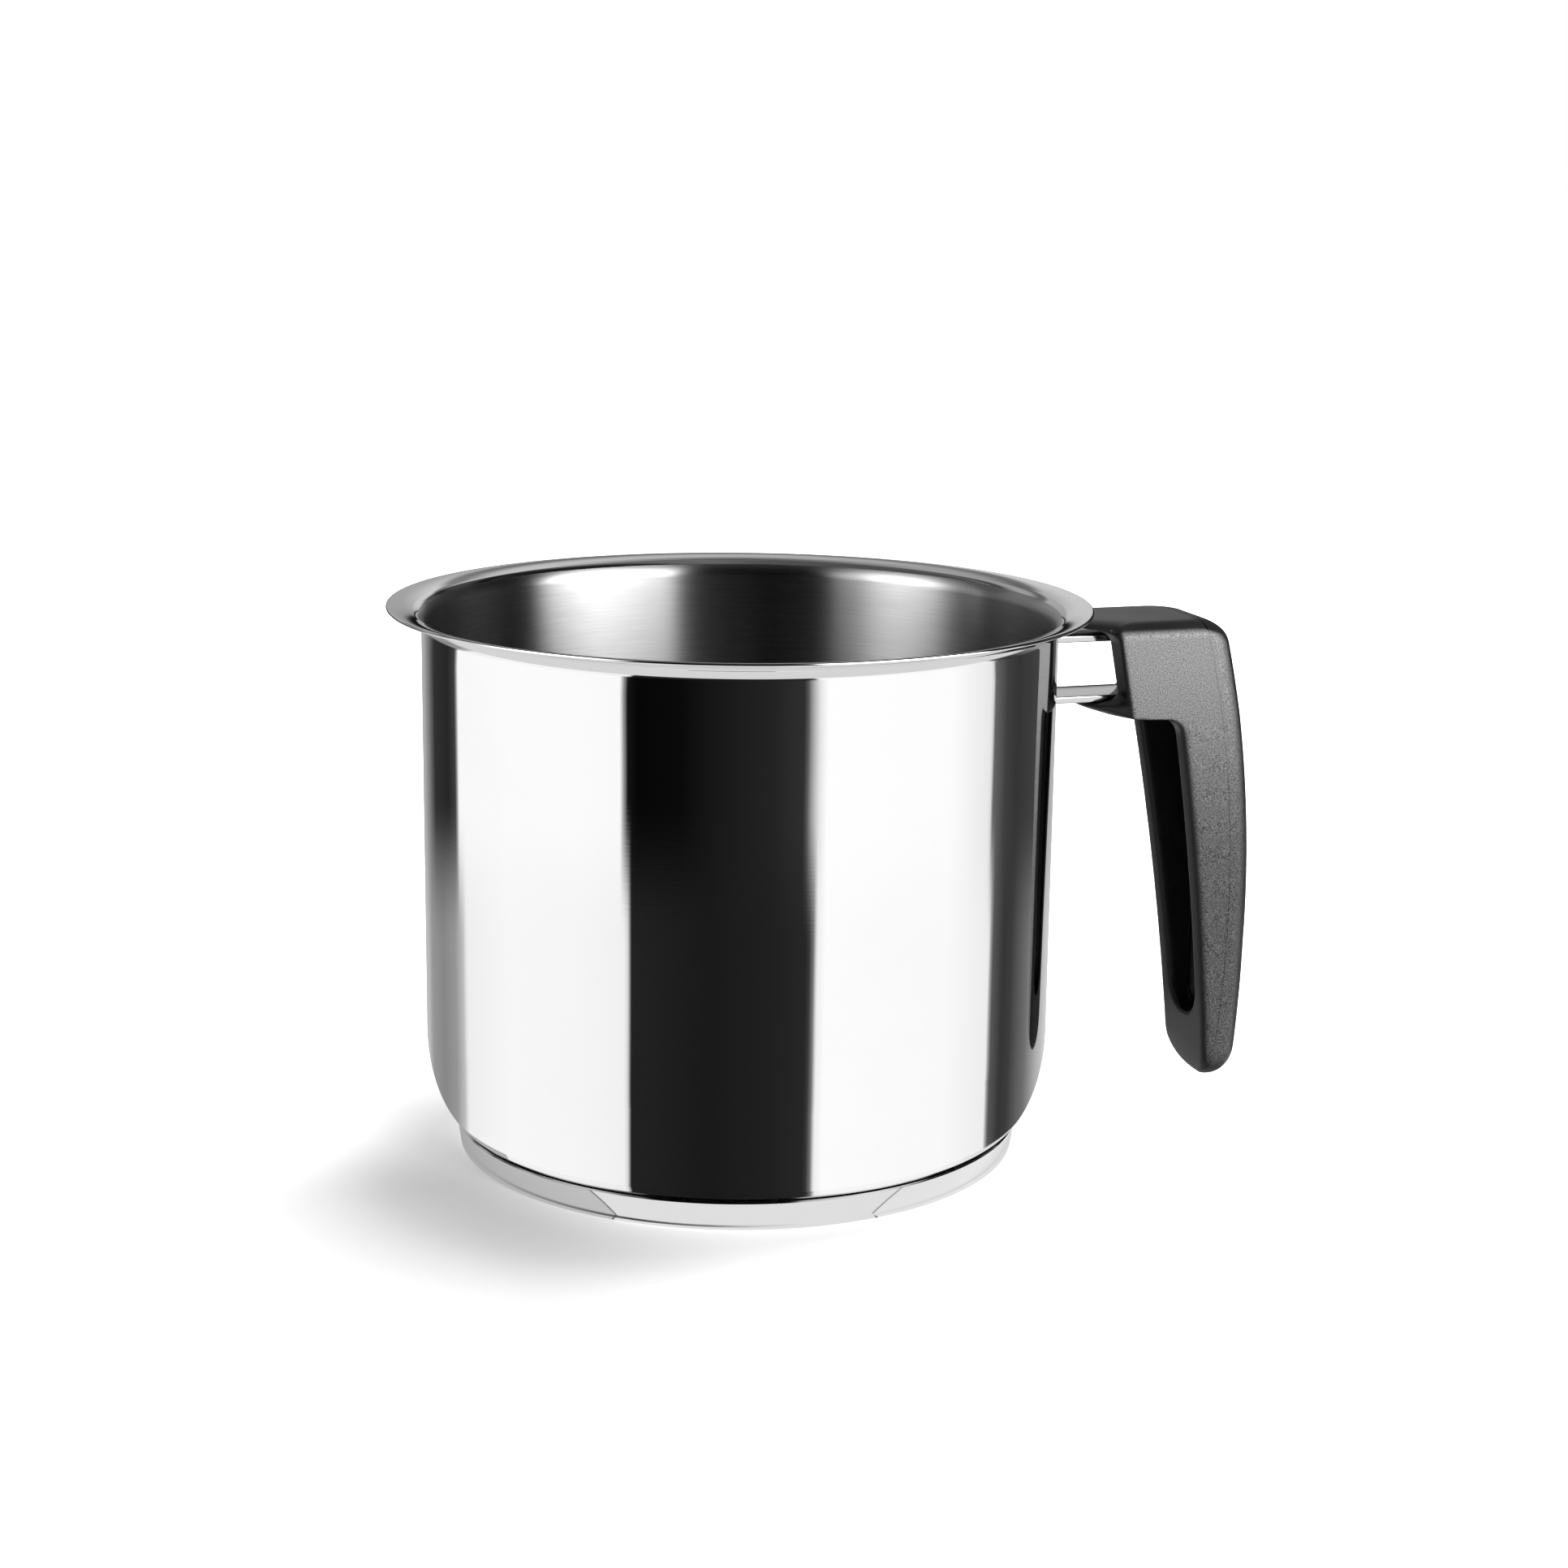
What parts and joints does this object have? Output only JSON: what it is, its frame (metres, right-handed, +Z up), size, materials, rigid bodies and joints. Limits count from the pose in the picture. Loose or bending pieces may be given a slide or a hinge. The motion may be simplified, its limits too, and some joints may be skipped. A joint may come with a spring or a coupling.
{
  "type": "milk pot",
  "caption": "Straight-sided cooking pot with a flared pouring rim, a capsule base and a moulded side handle held on a steel strap bracket.",
  "frame": {"origin": "centre of the base's underside, on the pot's axis, at the height the pot stands on", "axes": "+Z up along the pot's axis, +X from the axis towards the handle, +Y to the left seen from the pot's axis looking at the handle"},
  "size_m": [0.2026, 0.1568, 0.1242],
  "materials": {
    "polished_steel": "mirror-polished stainless steel outside, satin brushed inside",
    "base_steel": "polished stainless steel",
    "spreader_aluminium": "plain rolled, hidden in the base",
    "strap_steel": "semi-bright stainless strap",
    "black_phenolic": "matte moulded phenolic with a fine grain",
    "screw_steel": "zinc-plated"
  },
  "bodies": {
    "root": {"pot_body": "polished_steel", "base_cap": "base_steel", "heat_spreader_disc": "spreader_aluminium", "handle_bracket": "strap_steel", "handle": "black_phenolic", "handle_screw": "screw_steel", "screw_washer": "screw_steel"}
  },
  "joints": []
}
